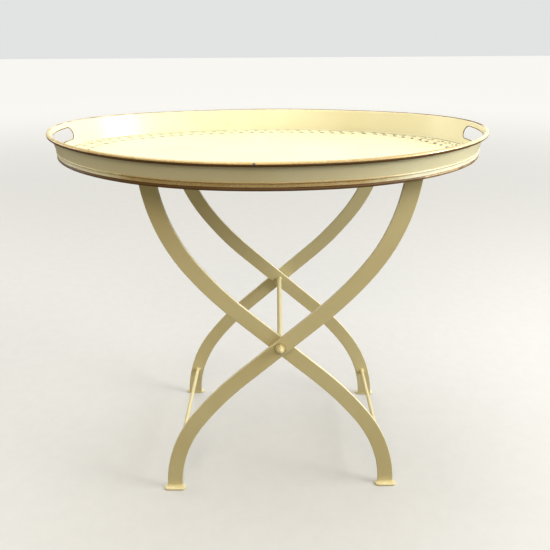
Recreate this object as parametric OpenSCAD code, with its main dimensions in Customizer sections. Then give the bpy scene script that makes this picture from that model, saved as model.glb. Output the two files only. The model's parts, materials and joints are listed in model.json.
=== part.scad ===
// Oval tray table on a folding stand of crossed, S-shaped flat bars.
// Millimetres. The origin is on the floor, under the middle of the tray: +Z up, X along the tray's length.
// The stand has two frames of two legs each. The inner frame nests between the legs of the outer frame and
// turns about the pivot rod. The tray lies loose on the two top rods, and its stop lugs keep the stand open.

/* [Tray] */
// Half length of the tray, to the middle of its rolled rim
rim_a = 396; // [380:1:410]
// Half width of the tray, to the middle of its rolled rim
rim_b = 279; // [265:1:290]
// Height of the lowest edge of the tray above the floor, at the middle of a long side
tray_z = 634; // [620:1:645]
// Height of the middle of the rolled rim above the tray's lowest edge
rim_h = 43; // [38:0.5:50]
// Radius of the rolled rim
rim_r = 4; // [3.5:0.1:5]
// Thickness of the tray's sheet metal
sheet_t = 1; // [0.8:0.1:1.2]
// Lean of the tray's wall, in degrees from upright
wall_lean = 15; // [12:0.5:18]
// How far the tray's ends sweep up above its middle
tray_bow = 7.5; // [0:0.5:9]
// Half length of the tray's flat middle
flat_half = 90; // [60:5:110]

/* [Hand-holds] */
// Length of the finger slot in each end wall
slot_len = 106; // [90:1:120]
// Height of the finger slot
slot_h = 24; // [18:1:24]
// Height of the middle of the slot above the tray's lowest edge
slot_z = 26; // [26:0.5:26.5]
// Radius of the bead that lines the slot
edge_r = 0.7; // [0.5:0.1:1.2]

/* [Stand] */
// Distance of the stand's middle from the tray's middle, along X
stand_x = 20.5; // [0:0.5:25]
// Height of the pivot above the floor
pivot_z = 313; // [305:1:320]
// Width of the legs' flat bar
bar_w = 30; // [26:1:32]
// Thickness of the legs' flat bar
bar_t = 6; // [5:0.5:7]
// Clear width between the legs of the inner frame
inner_clear = 302; // [280:1:320]
// Gap between an inner leg and the outer leg beside it
leg_gap = 4; // [3:0.5:5]
// Angle of a leg at the pivot, in degrees from upright
leg_lean = 48.5; // [47:0.5:50]
// Length of the straight run from the pivot to the first bend
straight_run = 96; // [88:1:102]
// Radius of the slack bend that follows the straight run
slack_r = 627; // [600:1:650]
// Lean of the leg where the slack bend ends, in degrees from upright
slack_lean = 37.2; // [36:0.2:38]
// Radius of the upper bend
upper_r = 323; // [310:1:340]

/* [Rods] */
// Diameter of the pivot rod and the top rods
rod_d = 10; // [8:0.5:11]
// Diameter of the foot rods
foot_rod_d = 8; // [6:0.5:10]
// Height of the foot rods above the floor
foot_rod_z = 68; // [60:1:80]

/* [Pivot] */
// Diameter of the pivot rod's ends, where they pass through the legs
pin_d = 8; // [7:0.5:8]
// Radial clearance of the pin in the inner legs
pin_fit = 0.06; // [0.03:0.01:0.09]
// Diameter of the spacer washers between the frames
spacer_d = 20; // [18:1:24]
// Diameter of the washers under the cap nuts
washer_d = 20; // [15:1:24]
// Thickness of the washers under the cap nuts
washer_t = 2; // [1.2:0.1:2.6]
// Width of a cap nut across its flats
nut_af = 13; // [12:0.5:14]
// Height of a cap nut's hexagon
nut_hex_h = 6.5; // [5.5:0.5:7]
// Height of a cap nut's dome
nut_dome_h = 5.5; // [5:0.5:6]

/* [Feet] */
// Length of a foot plate
foot_len = 42; // [36:1:44]
// Depth of a foot plate
foot_depth = 15; // [12:1:16]
// Thickness of a foot plate
foot_t = 4; // [3:0.5:5]

/* [Stop lugs] */
// Width of a stop lug
lug_w = 30; // [20:1:40]
// Thickness of a stop lug
lug_t = 2; // [1.5:0.5:2.5]
// Drop of a stop lug below the tray's floor
lug_drop = 14; // [10:1:16]
// Length of the flange that holds a stop lug to the tray
lug_flange = 16; // [12:1:20]
// Distance of the lugs from the table's middle line, along Y
lug_y = 95; // [70:1:110]
// Play between a lug and the rod that it stops
lug_play = 1; // [0.5:0.1:1.5]

/* [Hidden] */

$fn = 64;
cream = "#e9dfb4";
cream_shade = "#d8cc9a";
gold = "#b08b4a";
gold_dark = "#6f5326";
steel = "#a9a493";

// Tray: every height below is measured from the tray's lowest edge, and every offset from the base's oval.
ring_steps = 96;                          // segments round the oval
rim_out = 10;                             // how far the rim stands out beyond the base
base_a = rim_a - rim_out;
base_b = rim_b - rim_out;
floor_z = 2;                              // underside of the tray's floor
seam = 0.1;                               // play in the tray's soldered seams
curl_r = rim_r - sheet_t / 2;             // radius of the rolled sheet's middle line
curl_end = -138;                          // angle at which the rolled edge stops, short of the wall
curl_steps = 12;
roll_r = 2.9;                             // rolled lower edge of the base moulding
band_top = 13;                            // top of the moulding's band
flange_in = 12;                           // how far the moulding's flange reaches in under the floor

// Stand
inner_y = inner_clear / 2;                // inner face of an inner leg
outer_y = inner_y + bar_t + leg_gap;      // inner face of an outer leg
top_gap = 0.1;                            // play between the top rods and the tray
bend_steps = 12;
slack_steps = 4;
skin = 0.05;                              // play beside a washer, a nut or a shoulder
pin_bore = pin_d / 2 + pin_fit;
nut_face = outer_y + bar_t + washer_t + 2 * skin;   // inner face of a cap nut
thread_in = nut_hex_h + nut_dome_h / 2;             // how far the pivot rod reaches into a cap nut

// How far the tray's sheet rises at x, from its flat middle to its ends.
function bow(x) = tray_bow * pow(max(0, abs(x - stand_x) - flat_half) / (rim_a - flat_half), 2);
// Offset of the wall's middle line at height z, on the line that meets the rolled rim.
function wall_out(z) =
    rim_out - curl_r * cos(wall_lean) - (rim_h + curl_r * sin(wall_lean) - z) * tan(wall_lean);
half_sheet = sheet_t / 2 / cos(wall_lean);  // half the wall's thickness, measured level
// A point of the tray, from its direction round the oval, its offset and its height.
function oval(t, out, z) =
    let (x = (base_a + out) * cos(t)) [x, (base_b + out) * sin(t), tray_z + z + bow(x)];
function arc(cx, cy, r, from, to, steps) =
    [for (i = [0:steps]) let (t = from + (to - from) * i / steps) [cx + r * cos(t), cy + r * sin(t)]];

// Middle line of a leg above or below the pivot, as far as the bar stands upright: [x, height, lean].
slack_x = straight_run * sin(leg_lean) + slack_r * (cos(slack_lean) - cos(leg_lean));
slack_z = straight_run * cos(leg_lean) + slack_r * (sin(leg_lean) - sin(slack_lean));
lower_r = (pivot_z - slack_z) / sin(slack_lean);
function half_leg(bend_r) = concat(
    [for (i = [0:slack_steps])
        let (t = leg_lean + (slack_lean - leg_lean) * i / slack_steps)
        [straight_run * sin(leg_lean) + slack_r * (cos(t) - cos(leg_lean)),
            straight_run * cos(leg_lean) + slack_r * (sin(leg_lean) - sin(t)), t]],
    [for (i = [1:bend_steps])
        let (t = slack_lean * (1 - i / bend_steps))
        [slack_x + bend_r * (cos(t) - cos(slack_lean)), slack_z + bend_r * (sin(slack_lean) - sin(t)), t]]);
// One edge of a half leg, side 1 outwards and -1 inwards.
function half_edge(bend_r, side) =
    [for (p = half_leg(bend_r)) [p[0] + side * bar_w / 2 * cos(p[2]), p[1] - side * bar_w / 2 * sin(p[2])]];
function turned(points) = [for (p = points) [-p[0], -p[1]]];
function backwards(points) = [for (i = [len(points) - 1:-1:0]) points[i]];

// Top rods: the tray's floor lies on them, and the legs end just below their crowns.
rod_crown = tray_z + floor_z + bow(stand_x + slack_x + upper_r * (1 - cos(slack_lean))) - top_gap;
top_rod_z = rod_crown - rod_d / 2;
leg_top = rod_crown - 1;
function bend_x(bend_r, height) =
    slack_x + bend_r * (cos(asin(sin(slack_lean) - (height - slack_z) / bend_r)) - cos(slack_lean));
top_rod_x = bend_x(upper_r, top_rod_z - pivot_z);
foot_rod_x = bend_x(lower_r, pivot_z - foot_rod_z);
foot_x = bend_x(lower_r, pivot_z - foot_t);

// A closed outline of [offset, height] points, carried round the tray's oval.
module oval_ring(outline) {
    n = len(outline);
    points = [for (i = [0:ring_steps - 1], p = outline) oval(360 * i / ring_steps, p[0], p[1])];
    faces = [for (i = [0:ring_steps - 1], j = [0:n - 1])
        let (a = i * n + j, b = i * n + (j + 1) % n,
            c = (i + 1) % ring_steps * n + (j + 1) % n, d = (i + 1) % ring_steps * n + j)
        each [[a, b, c], [a, c, d]]];
    polyhedron(points, faces);
}

module slot_shape(inset) {
    r = slot_h / 2 - inset;
    for (side = [-1, 1])
        translate([side * (slot_len - slot_h) / 2, 0])
            circle(r);
    square([slot_len - slot_h, 2 * r], center = true);
}

module tray_floor() {
    edge_out = wall_out(floor_z) - half_sheet - seam;
    a = base_a + edge_out;
    b = base_b + edge_out;
    steps = 40;
    x_at = [for (i = [0:steps]) let (t = i / steps) -a + 2 * a * t];
    flat_from = stand_x - flat_half;
    flat_to = stand_x + flat_half;
    x_all = concat([for (x = x_at) if (x < flat_from) x], [flat_from, flat_to],
        [for (x = x_at) if (x > flat_to) x]);
    under = [for (x = x_all) [x, tray_z + floor_z + bow(x)]];
    over = [for (p = backwards(under)) [p[0], p[1] + sheet_t]];
    color(cream)
        intersection() {
            linear_extrude(height = tray_z + rim_h)
                polygon([for (i = [0:ring_steps - 1])
                    [a * cos(360 * i / ring_steps), b * sin(360 * i / ring_steps)]]);
            translate([0, b + 1, 0])
                rotate([90, 0, 0])
                    linear_extrude(height = 2 * b + 2)
                        polygon(concat(under, over));
        }
}

module tray_wall() {
    foot = floor_z;
    lap = 180 - wall_lean;
    outside = concat([[wall_out(foot) - half_sheet, foot]],
        arc(rim_out, rim_h, curl_r + sheet_t / 2, lap, curl_end, curl_steps));
    inside = concat(arc(rim_out, rim_h, curl_r - sheet_t / 2, curl_end, lap, curl_steps),
        [[wall_out(foot) + half_sheet, foot]]);
    color(cream)
        difference() {
            oval_ring(concat(outside, inside));
            for (side = [-1, 1])
                translate([side * base_a, 0, tray_z + slot_z + bow(side * base_a)])
                    rotate([90, 0, 90])
                        linear_extrude(height = 60, center = true)
                            slot_shape(0);
        }
}

module rim_wire() {
    wire_sides = 8;
    wire_r = rim_r - sheet_t - seam;
    color(steel)
        oval_ring([for (i = [wire_sides - 1:-1:0])
            [rim_out + wire_r * cos(360 * i / wire_sides), rim_h + wire_r * sin(360 * i / wire_sides)]]);
}

// Band and rolled edge outside the foot of the wall, with a flange that carries the floor.
module base_moulding() {
    bead_r = 1.2;
    gap = half_sheet + seam;
    flange_top = floor_z - seam;
    outline = concat(
        [[-flange_in, flange_top - 1], [-flange_in, flange_top], [wall_out(flange_top) + gap, flange_top],
            [wall_out(band_top) + gap, band_top]],
        arc(wall_out(band_top) + gap + bead_r, band_top, bead_r, 150, -60, 5),
        [[-0.4, band_top - 2 * bead_r], [-0.4, 2 * roll_r - 0.8]],
        arc(-roll_r, roll_r, roll_r, 30, -120, 5));
    color(gold)
        oval_ring(outline);
}

// Bead that lines a finger slot and follows the wall. Side -1 is the left end, 1 the right end.
module hand_hold_edge(side) {
    bead_sides = 6;
    turn_steps = 10;
    half_run = (slot_len - slot_h) / 2;
    r = slot_h / 2 - edge_r - seam;
    // Points of the slot's outline: [y, height, direction].
    path = [for (end = [1, -1], i = [0:turn_steps])
        let (t = (end > 0 ? -90 : 90) + 180 * i / turn_steps)
        [end * half_run + r * cos(t), slot_z + r * sin(t), t]];
    n = len(path);
    points = [for (p = path)
        let (out = wall_out(p[1]), x = side * (base_a + out) * sqrt(1 - pow(p[0] / (base_b + out), 2)))
        for (k = [0:bead_sides - 1])
            let (u = edge_r * cos(360 * k / bead_sides), v = side * edge_r * sin(360 * k / bead_sides))
            [x + v, p[0] + u * cos(p[2]), tray_z + bow(side * base_a) + p[1] + u * sin(p[2])]];
    faces = [for (i = [0:n - 1], k = [0:bead_sides - 1])
        let (a = i * bead_sides + k, b = i * bead_sides + (k + 1) % bead_sides,
            c = (i + 1) % n * bead_sides + (k + 1) % bead_sides, d = (i + 1) % n * bead_sides + k)
        each side > 0 ? [[a, c, b], [a, d, c]] : [[a, b, c], [a, c, d]]];
    color(gold)
        polyhedron(points, faces);
}

// Angle under the tray, outboard of a top rod. Sides are -1 or 1 along X and along Y.
module stop_lug(side_x, side_y) {
    under = floor_z + bow(stand_x + side_x * top_rod_x) - seam;
    x = stand_x + side_x * (top_rod_x + rod_d / 2 + lug_play);
    color(cream_shade)
        translate([x, side_y * lug_y, tray_z + under])
            mirror([side_x < 0 ? 1 : 0, 0, 0])
                rotate([90, 0, 0])
                    linear_extrude(height = lug_w, center = true)
                        polygon([[0, 0], [0, -lug_drop], [lug_t, -lug_drop], [lug_t, -lug_t],
                            [lug_flange, -lug_t], [lug_flange, 0]]);
}

// An S-shaped bar, upper end on side side_x, between y0 and y0 + bar_t, with the pivot's bore.
module leg(side_x, y0, bore_r) {
    outline = concat(half_edge(upper_r, 1), backwards(half_edge(upper_r, -1)),
        turned(half_edge(lower_r, 1)), turned(backwards(half_edge(lower_r, -1))));
    translate([stand_x, y0 + bar_t, pivot_z])
        mirror([side_x < 0 ? 1 : 0, 0, 0])
            rotate([90, 0, 0])
                difference() {
                    linear_extrude(height = bar_t)
                        intersection() {
                            polygon(outline);
                            translate([-pivot_z, foot_t - pivot_z])
                                square([2 * pivot_z, leg_top - foot_t]);
                        }
                    translate([0, 0, -1])
                        cylinder(r = bore_r, h = bar_t + 2);
                }
}

// A round rod along Y at x and height z, its ends on the inner faces of two legs at half_y.
module cross_rod(x, z, half_y, d) {
    translate([x, half_y, z])
        rotate([90, 0, 0])
            cylinder(d = d, h = 2 * half_y);
}

// A plate under a leg. Its straight side is flush with the leg's inner face at face_y.
module foot_plate(side_x, side_y, face_y) {
    translate([stand_x + side_x * foot_x, side_y * (face_y + foot_depth / 2), 0])
        linear_extrude(height = foot_t) {
            square([foot_len - foot_depth, foot_depth], center = true);
            for (side = [-1, 1])
                translate([side * (foot_len - foot_depth) / 2, 0])
                    circle(d = foot_depth);
        }
}

// A washer on a pivot rod's end, its inner face at face_y.
module ring_washer(side_y, face_y, d, t) {
    translate([stand_x, side_y * (face_y + t / 2), pivot_z])
        rotate([90, 0, 0])
            difference() {
                cylinder(d = d, h = t, center = true);
                cylinder(r = pin_d / 2 + 0.2, h = t + 1, center = true);
            }
}

module spacer_washer(side_y) { ring_washer(side_y, inner_y + bar_t + skin, spacer_d, leg_gap - 2 * skin); }
module nut_washer(side_y) { ring_washer(side_y, outer_y + bar_t + skin, washer_d, washer_t); }

// Hexagonal nut with a domed end and a blind bore.
module cap_nut(side_y) {
    dome_r = nut_af / 2 - 0.3;
    translate([stand_x, side_y * nut_face, pivot_z])
        rotate([side_y < 0 ? 90 : -90, 0, 0])
            difference() {
                union() {
                    rotate([0, 0, 30])
                        cylinder(d = nut_af / cos(30), h = nut_hex_h, $fn = 6);
                    intersection() {
                        translate([0, 0, nut_hex_h + nut_dome_h - dome_r])
                            sphere(r = dome_r);
                        cylinder(r = dome_r, h = nut_hex_h + nut_dome_h + 1);
                    }
                }
                translate([0, 0, -1])
                    cylinder(r = pin_d / 2 + skin, h = thread_in + 1 + skin);
            }
}

module pivot_rod() {
    shoulder = inner_y - 2 * skin;
    tip = nut_face + thread_in - skin;
    color(cream)
        translate([stand_x, 0, pivot_z])
            rotate([90, 0, 0]) {
                cylinder(d = rod_d, h = 2 * shoulder, center = true);
                cylinder(d = pin_d, h = 2 * tip, center = true);
            }
}

module left_hand_hold_edge() { hand_hold_edge(-1); }
module right_hand_hold_edge() { hand_hold_edge(1); }
module left_front_lug() { stop_lug(-1, -1); }
module left_rear_lug() { stop_lug(-1, 1); }
module right_front_lug() { stop_lug(1, -1); }
module right_rear_lug() { stop_lug(1, 1); }
module outer_front_leg() { color(cream) leg(1, -outer_y - bar_t, pin_d / 2 + skin); }
module outer_rear_leg() { color(cream_shade) leg(1, outer_y, pin_d / 2 + skin); }
module outer_top_rod() { color(cream_shade) cross_rod(stand_x + top_rod_x, top_rod_z, outer_y, rod_d); }
module outer_foot_rod() { color(cream) cross_rod(stand_x - foot_rod_x, foot_rod_z, outer_y, foot_rod_d); }
module outer_front_foot() { color(cream) foot_plate(-1, -1, outer_y); }
module outer_rear_foot() { color(cream) foot_plate(-1, 1, outer_y); }
module inner_front_leg() { color(cream) leg(-1, -inner_y - bar_t, pin_bore); }
module inner_rear_leg() { color(cream_shade) leg(-1, inner_y, pin_bore); }
module inner_top_rod() { color(cream_shade) cross_rod(stand_x - top_rod_x, top_rod_z, inner_y, rod_d); }
module inner_foot_rod() { color(cream) cross_rod(stand_x + foot_rod_x, foot_rod_z, inner_y, foot_rod_d); }
module inner_front_foot() { color(cream) foot_plate(1, -1, inner_y); }
module inner_rear_foot() { color(cream) foot_plate(1, 1, inner_y); }
module front_spacer_washer() { color(steel) spacer_washer(-1); }
module rear_spacer_washer() { color(steel) spacer_washer(1); }
module front_nut_washer() { color(cream) nut_washer(-1); }
module rear_nut_washer() { color(cream) nut_washer(1); }
module front_cap_nut() { color(cream) cap_nut(-1); }
module rear_cap_nut() { color(cream) cap_nut(1); }

tray_floor();
tray_wall();
rim_wire();
base_moulding();
left_hand_hold_edge();
right_hand_hold_edge();
left_front_lug();
left_rear_lug();
right_front_lug();
right_rear_lug();
outer_front_leg();
outer_rear_leg();
outer_top_rod();
outer_foot_rod();
outer_front_foot();
outer_rear_foot();
inner_front_leg();
inner_rear_leg();
inner_top_rod();
inner_foot_rod();
inner_front_foot();
inner_rear_foot();
pivot_rod();
front_spacer_washer();
rear_spacer_washer();
front_nut_washer();
rear_nut_washer();
front_cap_nut();
rear_cap_nut();
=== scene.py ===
"""Looks of an oval tray table on a folding stand: brushed cream enamel, gilded edges, a painted leaf border.

Shapes are worked out in millimetres in the CAD part's own frame (origin on the floor under the middle of the
tray, +Z up, X along the tray, front towards -Y) and become Blender meshes in metres. Places come from the
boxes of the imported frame; the sizes named below are those that a box can't give.
"""
import json
import random
from math import asin, cos, degrees, exp, hypot, pi, radians, sin, sqrt, tan

import bmesh
import bpy
import numpy as np
from mathutils import Matrix, Vector, noise


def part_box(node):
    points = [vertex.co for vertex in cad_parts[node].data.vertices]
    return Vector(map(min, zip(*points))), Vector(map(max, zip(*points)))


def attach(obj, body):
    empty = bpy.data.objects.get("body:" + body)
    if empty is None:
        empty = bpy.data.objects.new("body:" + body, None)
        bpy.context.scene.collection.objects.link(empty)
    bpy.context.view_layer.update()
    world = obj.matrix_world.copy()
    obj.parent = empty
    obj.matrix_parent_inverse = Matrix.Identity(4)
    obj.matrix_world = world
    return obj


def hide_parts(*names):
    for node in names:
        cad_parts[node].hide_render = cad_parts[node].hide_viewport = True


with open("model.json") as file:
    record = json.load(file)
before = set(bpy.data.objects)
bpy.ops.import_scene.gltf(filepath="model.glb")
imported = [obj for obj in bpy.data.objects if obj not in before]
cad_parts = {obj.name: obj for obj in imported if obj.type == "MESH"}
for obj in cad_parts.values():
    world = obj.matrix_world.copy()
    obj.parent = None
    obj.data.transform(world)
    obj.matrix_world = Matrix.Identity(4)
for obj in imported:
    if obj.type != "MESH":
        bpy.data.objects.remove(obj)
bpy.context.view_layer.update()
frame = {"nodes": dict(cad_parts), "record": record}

MM = 0.001


def box(node):
    """Lowest and highest corner of a CAD node, in millimetres."""
    low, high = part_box(node)
    return np.array(low) / MM, np.array(high) / MM


# ---- sizes, in millimetres and degrees

# Tray: heights are measured from its lowest edge, and offsets from the oval of its base.
RIM_OUT, RIM_H, RIM_R = 10.0, 43.0, 4.0  # middle and radius of the rolled rim
SHEET_T, WALL_LEAN, SEAM = 1.0, 15.0, 0.1
CURL_R = RIM_R - SHEET_T / 2  # middle line of the rolled sheet
CURL_END = -138.0  # angle at which the roll stops, short of the wall
FLOOR_Z, BAND_TOP, ROLL_R = 2.0, 13.0, 2.9
TRAY_BOW, FLAT_HALF = 7.5, 90.0  # the tray's ends sweep up from its flat middle
SLOT_LEN, SLOT_H, SLOT_Z = 106.0, 24.0, 26.0
EDGE_R, EDGE_IN = 0.85, 0.35  # bead on a slot's edge: its radius, and how far in it sits
EDGE_UMBER = 0.56  # enough for ragged umber over the bead's gilding
RIM_WOBBLE = 0.35  # how far the hand-rolled rim strays from a true oval
DENT = 0.3  # height of the soft unevenness in the floor
GILT_FROM, GILT_TO = 145.0, 12.0  # the rolled rim is gilded between these angles
UMBER_AND_SHADE_BLUR = 30.0  # degrees over which its gilding turns below to umber, which is partly a painted shade on the roll's underside
LINE_LOW, LINE_BLUR = 38.8, 2.5  # start and blur of the line under the rim: umber paint and a painted shade from the roll
RIM_GOLD = 0.85  # strength of the rolled rim's thin gilding

RIM_HIGH = box("tray_wall")[1]
pivot_low, pivot_high = box("pivot_rod")
BASE_A = round(RIM_HIGH[0]) - RIM_OUT - RIM_R
BASE_B = round(RIM_HIGH[1]) - RIM_OUT - RIM_R
TRAY_Z = box("base_moulding")[0][2]
STAND_X, PIVOT_Z = ((pivot_low + pivot_high) / 2)[[0, 2]]
HALF_SHEET = SHEET_T / 2 / cos(radians(WALL_LEAN))

# Stand: the middle line of a leg, outwards from the pivot.
BAR_W, LEG_LEAN, STRAIGHT = 30.0, radians(48.5), 96.0
SLACK_R, SLACK_LEAN, UPPER_R = 627.0, radians(37.2), 323.0
PIVOT_ROD_R = 5.0
PIN_R = 4.1  # bore for the pivot pin
PIN_PLAY = 0.15  # the pin is thinner than its bore by this radius
BAR_CORNER = 1.1  # radius of a bar's softened edges
HOLE_COLUMNS = (-10.6, -7.07, -3.53, 0.0, 3.53, 7.07, 10.6)  # mesh columns across a bar, at the hole
UPPER_ROWS, LOWER_ROWS = 46, 44  # mesh rows along a leg's two ends
HOLE_ROWS = 2  # mesh rows that the hole's patch takes to each side
HOLE_STEP, HOLE_STEPS = 6.5, 14  # mesh rows along a leg, to each side of its hole
CALM_LEN = 60.0  # a leg's forging marks are full at this distance from the pivot
WELD_H, WELD_RUN = 2.4, 3.4  # weld bead at a rod's end: height and run along the rod
PIVOT_WELD_H, PIVOT_WELD_RUN = 0.7, 1.2
NUT_HALF, NUT_HEX_H, NUT_CLIP = 6.5, 6.5, 1.12  # half its flats, hexagon's height, its corners' reach
DOME_IN = 0.3  # the dome is narrower than the hexagon's flats by this radius
WASHER_R = (box("front_nut_washer")[1][0] - box("front_nut_washer")[0][0]) / 2
STRAIGHT_END = STRAIGHT * sin(LEG_LEAN), STRAIGHT * cos(LEG_LEAN)
SLACK_LEN = SLACK_R * (LEG_LEAN - SLACK_LEAN)


def bend_end(start, radius, lean_from, lean_to):
    """Where a bend ends that starts at this (x, height) and turns from one lean to another."""
    return (start[0] + radius * (cos(lean_to) - cos(lean_from)),
            start[1] + radius * (sin(lean_from) - sin(lean_to)))


SLACK_END = bend_end(STRAIGHT_END, SLACK_R, LEG_LEAN, SLACK_LEAN)
LOWER_R = (PIVOT_Z - SLACK_END[1]) / sin(SLACK_LEAN)

# Mesh fineness
RING_STEPS = 480
SLOT_RUN, SLOT_REACH = 12, 18  # ring steps from a slot's middle to its bends and its patch's edge
WALL_ROWS = [FLOOR_Z + 3 * i for i in range(14)]
PATCH_LOW, PATCH_HIGH = 3, 13  # wall rows below and above a slot
RING_BRUSH = 30.0  # radius on which the oval's brush marks run, so they look drawn out


def clamp(value):
    """value, kept between 0 and 1."""
    return min(1.0, max(0.0, value))


def bow(x):
    """How far the tray rises at x, from its flat middle to its ends."""
    return TRAY_BOW * (max(0.0, abs(x - STAND_X) - FLAT_HALF) / (BASE_A + RIM_OUT - FLAT_HALF)) ** 2


def wall_out(height):
    """Offset of the wall's middle line, on the line that meets the rolled rim."""
    lean = radians(WALL_LEAN)
    return RIM_OUT - CURL_R * cos(lean) - (RIM_H + CURL_R * sin(lean) - height) * tan(lean)


def soft_noise(x, y, z):
    return noise.noise(Vector((x, y, z)))


def oval(t, out, height):
    """A point of the tray, from its direction round the oval, its offset and its height."""
    stray = RIM_WOBBLE * soft_noise(2.2 * cos(t), 2.2 * sin(t), 3.7)
    x = (BASE_A + out + stray) * cos(t)
    return x, (BASE_B + out + stray) * sin(t), TRAY_Z + height + bow(x)


# ---- mesh building

class Shape:
    """A mesh while it is built. Its points have brush coordinates, gold, umber with painted shade, and wear
    with painted highlight.
    """

    def __init__(self):
        self.points, self.brush, self.layers, self.faces = [], [], [], []

    def add(self, point, brush, gold=0.0, umber=0.0, edge=0.0):
        self.points.append(tuple(point))
        self.brush.append(tuple(brush))
        self.layers.append((gold, umber, edge))
        return len(self.points) - 1

    def bridge(self, row, other, closed=True):
        """Quads between two rows of as many points."""
        count = len(row)
        for i in range(count if closed else count - 1):
            j = (i + 1) % count
            self.faces.append((row[i], row[j], other[j], other[i]))


def link_new(name, data):
    """A new object in the scene."""
    obj = bpy.data.objects.new(name, data)
    bpy.context.scene.collection.objects.link(obj)
    return obj


def make_object(name, shape, material, sharp=40.0):
    """Turns a Shape into a smooth-shaded object with outward faces."""
    mesh = bpy.data.meshes.new(name)
    mesh.from_pydata([tuple(c * MM for c in p) for p in shape.points], [], shape.faces)
    brush = mesh.attributes.new("brush", "FLOAT_VECTOR", "POINT")
    brush.data.foreach_set("vector", np.array(shape.brush, np.float32).ravel())
    for column, layer in enumerate(("gold", "umber", "edge")):
        values = mesh.attributes.new(layer, "FLOAT", "POINT")
        values.data.foreach_set("value", np.array(shape.layers, np.float32)[:, column].copy())
    bm = bmesh.new()
    bm.from_mesh(mesh)
    bmesh.ops.recalc_face_normals(bm, faces=bm.faces)
    bm.to_mesh(mesh)
    bm.free()
    mesh.shade_smooth()
    mesh.set_sharp_from_angle(angle=radians(sharp))
    mesh.materials.append(material)
    return link_new(name, mesh)


def stand_in(obj, node):
    """obj takes the place of a CAD node, on the same body."""
    body = next(name for name, nodes in frame["record"]["behaviour"]["bodies"].items() if node in nodes)
    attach(obj, body)
    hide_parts(node)
    return obj


def stand_piece(node, ending, shape, material, sharp=40.0):
    """A piece of the stand in place of its CAD node, its large flat faces kept flat beside rounded edges."""
    obj = make_object(node + ending, shape, material, sharp)
    obj.modifiers.new("weighted", "WEIGHTED_NORMAL").keep_sharp = True
    return stand_in(obj, node)


def sideways(a, b):
    """Unit vector at a right angle to the way from a to b, in their plane."""
    run = hypot(b[0] - a[0], b[1] - a[1])
    return (b[1] - a[1]) / run, -(b[0] - a[0]) / run


def arc(out, height, radius, start, end, steps):
    """Points along an arc, as (offset, height, angle)."""
    angles = [start + (end - start) * i / steps for i in range(steps + 1)]
    return [(out + radius * cos(radians(a)), height + radius * sin(radians(a)), a)
            for a in angles]


def stadium(half_run, radius, run_steps, turn_steps):
    """A closed outline with two straight sides and two round ends, from the left of its lower side."""
    low = [(half_run * (2 * i / run_steps - 1), -radius) for i in range(run_steps)] if run_steps else []
    turn = [radians(180 * i / turn_steps - 90) for i in range(turn_steps)]
    right = [(half_run + radius * cos(a), radius * sin(a)) for a in turn]
    return low + right + [(-x, -y) for x, y in low + right]


def patch_border(run, reach, low, high):
    """Grid positions round a patch that spans -reach to reach and low to high, in stadium() order."""
    lower = [(k, low) for k in range(-run, reach)]
    side = [(reach, r) for r in range(low, high)]
    upper = [(k, high) for k in range(reach, -reach, -1)]
    back = [(-reach, r) for r in range(high, low, -1)]
    return lower + side + upper + back + [(k, low) for k in range(-reach, -run)]


def pierce(shape, border, hole, place, layers=4):
    """Fills the skin between a patch's border, rows of (index, (u, v)), and a hole, rows of (u, v)."""
    ring = [index for index, _ in border]
    for layer in range(1, layers + 1):
        share = layer / layers
        inner = []
        for (_, edge), target in zip(border, hole):
            u, v = (a + (b - a) * share for a, b in zip(edge, target))
            inner.append(shape.add(*place(u, v)))
        shape.bridge(ring, inner)
        ring = inner
    return ring


def tube(shape, path, radius_at, sides=10, closed=True, **paint):
    """A round bead along path, whose entries are (point, side vector, up vector)."""
    rows = []
    for i, (point, side, up) in enumerate(path):
        radius = radius_at(i)
        row = []
        for k in range(sides):
            a = 2 * pi * k / sides
            spot = [p + radius * (cos(a) * s + sin(a) * u) for p, s, u in zip(point, side, up)]
            row.append(shape.add(spot, (0.3 * i, 2 * cos(a), 2 * sin(a)), **paint))
        rows.append(row)
    for row, following in zip(rows, rows[1:] + rows[:1] if closed else rows[1:]):
        shape.bridge(row, following)
    if not closed:
        shape.faces += [tuple(rows[0]), tuple(rows[-1])]


# ---- tray

def ring_brush(t, along):
    return RING_BRUSH * cos(t), RING_BRUSH * sin(t), along


def ring_grid(shape, outline, vary=None):
    """Carries an outline of (offset, height, gold, umber and shade, edge) round the oval. Gives the points'
    indices.
    """
    along = [0.0]
    for a, b in zip(outline, outline[1:]):
        along.append(along[-1] + hypot(b[0] - a[0], b[1] - a[1]))
    grid = []
    for i in range(RING_STEPS):
        t = 2 * pi * i / RING_STEPS
        row = []
        for spot, length in zip(outline, along):
            out, height, *paint = vary(t, *spot) if vary else spot
            row.append(shape.add(oval(t, out, height), ring_brush(t, length), *paint))
        grid.append(row)
    return grid, along


def ring_faces(shape, grid, is_open=lambda i, j: False):
    """Quads over a ring's grid, except where it is open."""
    columns, rows = len(grid), len(grid[0])
    for i in range(columns):
        a, b = grid[i], grid[(i + 1) % columns]
        for j in range(rows):
            if not is_open(i, j):
                k = (j + 1) % rows
                shape.faces.append((a[j], b[j], b[k], a[k]))


def wall_line(height):
    """Line on the wall's outside under the rolled rim: umber paint and a painted shade. It starts where this
    passes one half.
    """
    return max(-1.0, (height - LINE_LOW) / LINE_BLUR + 0.5)


# Changes of the rim's paint, by direction round the oval
FADE_RUN = 0.35  # how much of the direction's cosine a change takes
RIGHT_FROM, LEFT_FROM = 0.55, 0.6  # cosines at which the changes towards the two ends start
BACK_STEEP, BACK_SHIFT = 3.0, 0.8  # how quickly the front's paint turns into the back's, and where
RIGHT_GOLD_LOSS, BACK_GOLD_LOSS = 0.55, 0.4
# Loss of the rim's umber and painted shade towards the right end.
RIGHT_UMBER_AND_SHADE_LOSS = 0.36
BACK_UMBER, BACK_UMBER_RISE = 0.60, 0.10  # umber on the back's outer side, more of it to the right
OUTER_SIDE = RIM_OUT - 2.6  # offset from which the rolled rim counts as its outer side


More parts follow.
